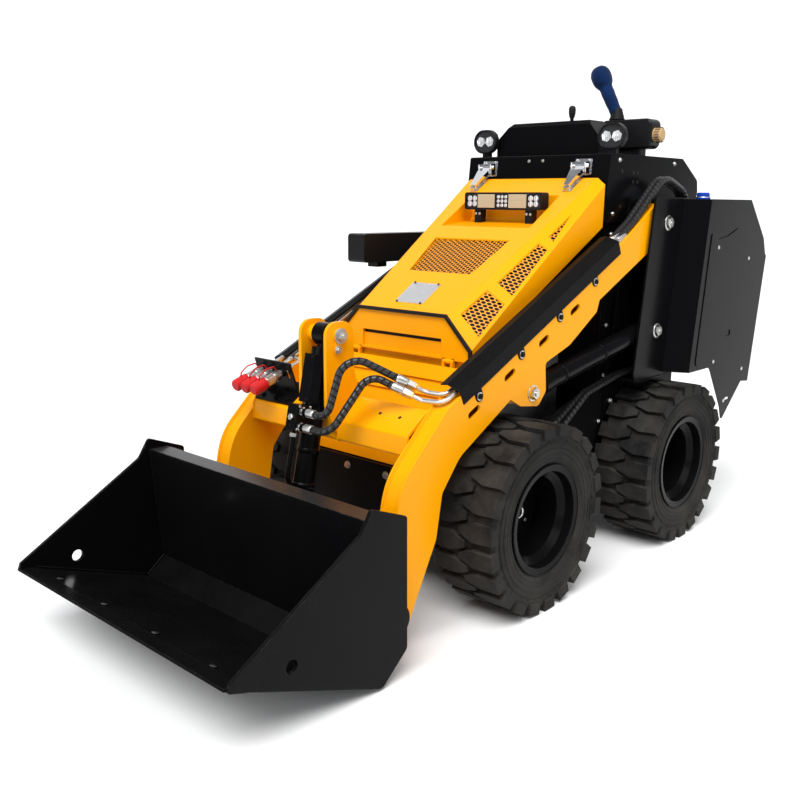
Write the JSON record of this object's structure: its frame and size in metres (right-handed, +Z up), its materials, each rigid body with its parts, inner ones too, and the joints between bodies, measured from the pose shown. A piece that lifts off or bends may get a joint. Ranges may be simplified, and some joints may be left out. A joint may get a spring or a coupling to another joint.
{
  "type": "wheeled mini skid steer loader with bucket",
  "caption": "Stand-on wheeled mini skid steer loader with a bucket, yellow arms and hood, black towers, tanks and bucket, and four lugged tyres.",
  "frame": {"origin": "centre of the footprint, on the ground", "axes": "+X forward toward the bucket, +Y the machine's left, +Z up"},
  "size_m": [2.7, 1.058, 1.728],
  "materials": {
    "black_paint": "gloss",
    "black_plastic": "matte",
    "black_rubber": "matte",
    "blue_grip": "matte",
    "cap_blue": "gloss",
    "cap_red": "matte",
    "chrome_rod": "polished",
    "dark_paint": "satin",
    "engine_grey": "matte",
    "hose_rubber": "matte",
    "lamp_lens": "gloss",
    "plate_alloy": "satin",
    "tan_plastic": "matte",
    "tyre_rubber": "matte",
    "yellow_paint": "gloss",
    "zinc": "satin"
  },
  "bodies": {
    "loader_arms": {"arm_left": "yellow_paint", "arm_right": "yellow_paint", "arm_tubes": "zinc", "coupler_bracket": "black_paint", "coupler_caps": "cap_red", "cross_tube": "yellow_paint", "hose_guards": "black_paint", "tilt_clevis": "yellow_paint", "tilt_hoses": "hose_rubber"},
    "hood": {"badge_plate": "plate_alloy", "hood_latches": "zinc", "hood_mesh": "yellow_paint", "hood_shell": "yellow_paint", "hood_trim": "black_rubber", "light_bar": "black_plastic", "light_bar_lenses": "lamp_lens"},
    "chassis": {"body_shell": "black_paint", "chassis_frame": "dark_paint", "console_box": "black_paint", "console_panel": "black_paint", "control_pod": "black_plastic", "engine_block": "engine_grey", "grille_panel": "yellow_paint", "joystick": "blue_grip", "operator_platform": "dark_paint", "pivot_hoses": "hose_rubber", "pod_knob": "tan_plastic", "side_box": "black_plastic", "side_hoses": "hose_rubber", "side_shield_left": "black_paint", "side_shield_right": "black_paint", "tank_cap": "cap_blue", "tank_left": "black_paint", "tank_right": "black_paint", "tower_left": "black_paint", "tower_right": "black_paint", "wheel_motors": "dark_paint", "work_lamp_lenses": "lamp_lens", "work_lamps": "black_plastic"},
    "bucket": {"bucket_shell": "black_paint", "cutting_edge": "black_paint", "hitch_ears": "black_paint", "hitch_plate": "black_paint"},
    "lift_cylinder_left": {"lift_barrel_left": "black_paint"},
    "lift_cylinder_right": {"lift_barrel_right": "black_paint"},
    "lift_piston_left": {"lift_rod_left": "chrome_rod"},
    "lift_piston_right": {"lift_rod_right": "chrome_rod"},
    "wheel_front_left": {"rim_front_left": "black_paint", "tyre_front_left": "tyre_rubber"},
    "wheel_front_right": {"rim_front_right": "black_paint", "tyre_front_right": "tyre_rubber"},
    "wheel_rear_left": {"rim_rear_left": "black_paint", "tyre_rear_left": "tyre_rubber"},
    "wheel_rear_right": {"rim_rear_right": "black_paint", "tyre_rear_right": "tyre_rubber"},
    "tilt_cylinder": {"tilt_barrel": "black_paint"},
    "tilt_piston": {"tilt_rod": "chrome_rod"}
  },
  "joints": [
    {"name": "wheel_front_left_turn", "type": "hinge", "parent": "chassis", "child": "wheel_front_left", "pos_m": [0.181, 0.4215, 0.2925], "axis": [0, 1, 0], "continuous": true},
    {"name": "wheel_front_right_turn", "type": "hinge", "parent": "chassis", "child": "wheel_front_right", "pos_m": [0.181, -0.4215, 0.2925], "axis": [0, 1, 0], "continuous": true},
    {"name": "wheel_rear_left_turn", "type": "hinge", "parent": "chassis", "child": "wheel_rear_left", "pos_m": [-0.705, 0.4215, 0.2925], "axis": [0, 1, 0], "continuous": true},
    {"name": "wheel_rear_right_turn", "type": "hinge", "parent": "chassis", "child": "wheel_rear_right", "pos_m": [-0.705, -0.4215, 0.2925], "axis": [0, 1, 0], "continuous": true},
    {"name": "arm_lift", "type": "hinge", "parent": "chassis", "child": "loader_arms", "pos_m": [-0.665, 0, 1.159], "axis": [0, -1, 0], "range_deg": [0, 68], "deforming": ["pivot_hoses"]},
    {"name": "bucket_tilt", "type": "hinge", "parent": "loader_arms", "child": "bucket", "pos_m": [0.726, 0, 0.115], "axis": [0, 1, 0], "range_deg": [-5, 125]},
    {"name": "lift_cylinder_left_swing", "type": "hinge", "parent": "chassis", "child": "lift_cylinder_left", "pos_m": [-0.63, 0.367, 0.779], "axis": [0, -1, 0], "range_deg": [0, 61.13]},
    {"name": "lift_piston_left_stroke", "type": "slide", "parent": "lift_cylinder_left", "child": "lift_piston_left", "axis": [0.986, 0, -0.167], "range_m": [0, 0.4122]},
    {"name": "lift_cylinder_right_swing", "type": "hinge", "parent": "chassis", "child": "lift_cylinder_right", "pos_m": [-0.63, -0.367, 0.779], "axis": [0, -1, 0], "range_deg": [0, 61.13]},
    {"name": "lift_piston_right_stroke", "type": "slide", "parent": "lift_cylinder_right", "child": "lift_piston_right", "axis": [0.986, 0, -0.167], "range_m": [0, 0.4122]},
    {"name": "tilt_cylinder_swing", "type": "hinge", "parent": "loader_arms", "child": "tilt_cylinder", "pos_m": [0.602, 0, 0.845], "axis": [0, -1, 0], "range_deg": [-0.26, 5.29], "deforming": ["tilt_hoses"]},
    {"name": "tilt_piston_stroke", "type": "slide", "parent": "tilt_cylinder", "child": "tilt_piston", "axis": [0.2067, 0, -0.9784], "range_m": [-0.0112, 0.2678]},
    {"name": "hood_open", "type": "hinge", "parent": "chassis", "child": "hood", "pos_m": [0.273, 0, 0.748], "axis": [0, 1, 0], "range_deg": [0, 60]}
  ],
  "couplings": [
    {"joint": "lift_cylinder_left_swing", "follows": "arm_lift", "ratio": 0.89821},
    {"joint": "lift_piston_left_stroke", "follows": "arm_lift", "m_per_rad": 0.34688},
    {"joint": "lift_cylinder_right_swing", "follows": "arm_lift", "ratio": 0.89821},
    {"joint": "lift_piston_right_stroke", "follows": "arm_lift", "m_per_rad": 0.34688},
    {"joint": "tilt_cylinder_swing", "follows": "bucket_tilt", "ratio": 0.04192},
    {"joint": "tilt_piston_stroke", "follows": "bucket_tilt", "m_per_rad": 0.12251}
  ]
}
